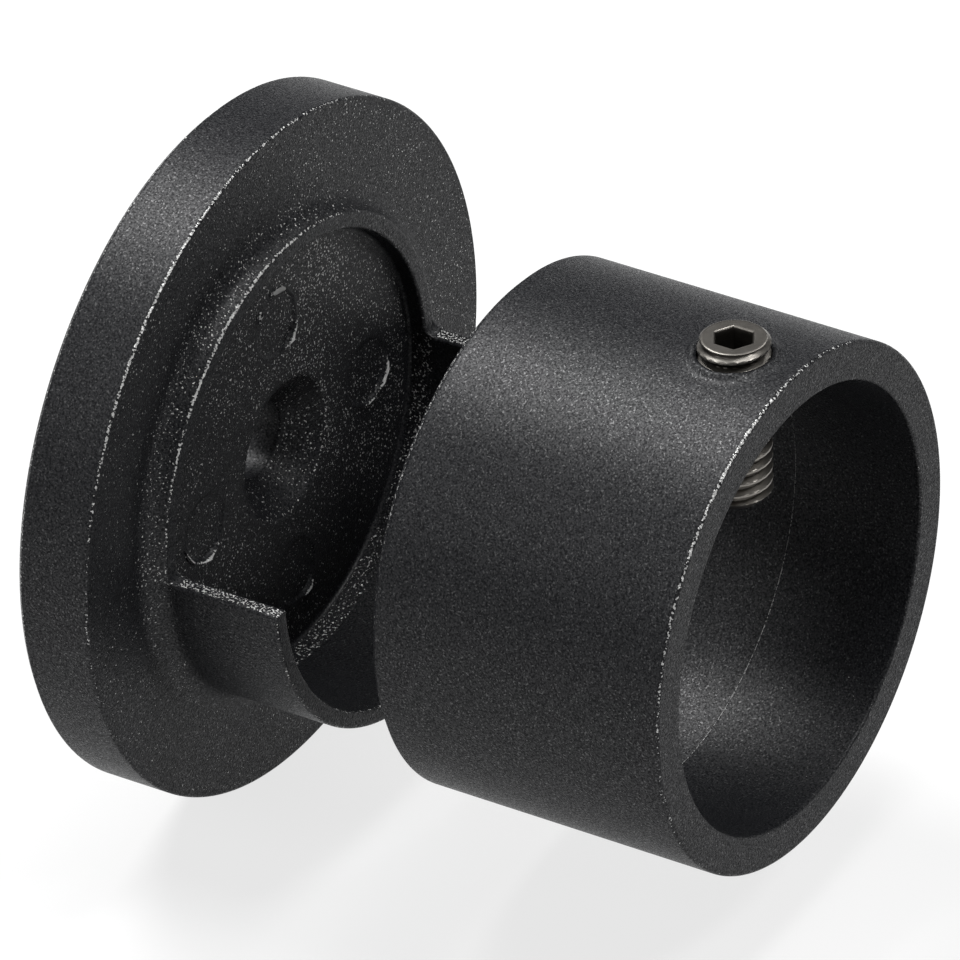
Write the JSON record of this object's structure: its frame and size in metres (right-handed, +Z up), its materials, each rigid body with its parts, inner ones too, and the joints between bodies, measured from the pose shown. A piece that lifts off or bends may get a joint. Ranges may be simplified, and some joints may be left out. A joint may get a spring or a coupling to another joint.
{
  "type": "curtain rod bracket",
  "caption": "Round wall plate with an open half cup for the end of a curtain rod, and a sleeve that slides over the cup and locks on the rod with a grub screw.",
  "frame": {"origin": "centre of the wall plate's back face, on the axis of the wall screw's hole", "axes": "+X along the rod, away from the wall; +Z up, out of the half cup's open side"},
  "size_m": [0.0374, 0.04, 0.04],
  "materials": {
    "powder_coat": "black powder coat with a fine grain, satin",
    "screw_steel": "plain steel, turned"
  },
  "bodies": {
    "wall_plate": {"wall_plate": "powder_coat"},
    "sleeve": {"sleeve": "powder_coat"},
    "grub_screw": {"grub_screw": "screw_steel"}
  },
  "joints": [
    {"name": "sleeve_slide", "type": "slide", "parent": "wall_plate", "child": "sleeve", "axis": [1, 0, 0], "range_m": [-0.0145, 0]},
    {"name": "grub_screw_travel", "type": "slide", "parent": "sleeve", "child": "grub_screw", "axis": [0, 0.061, 0.9981], "range_m": [-0.001, 0.00675]}
  ]
}
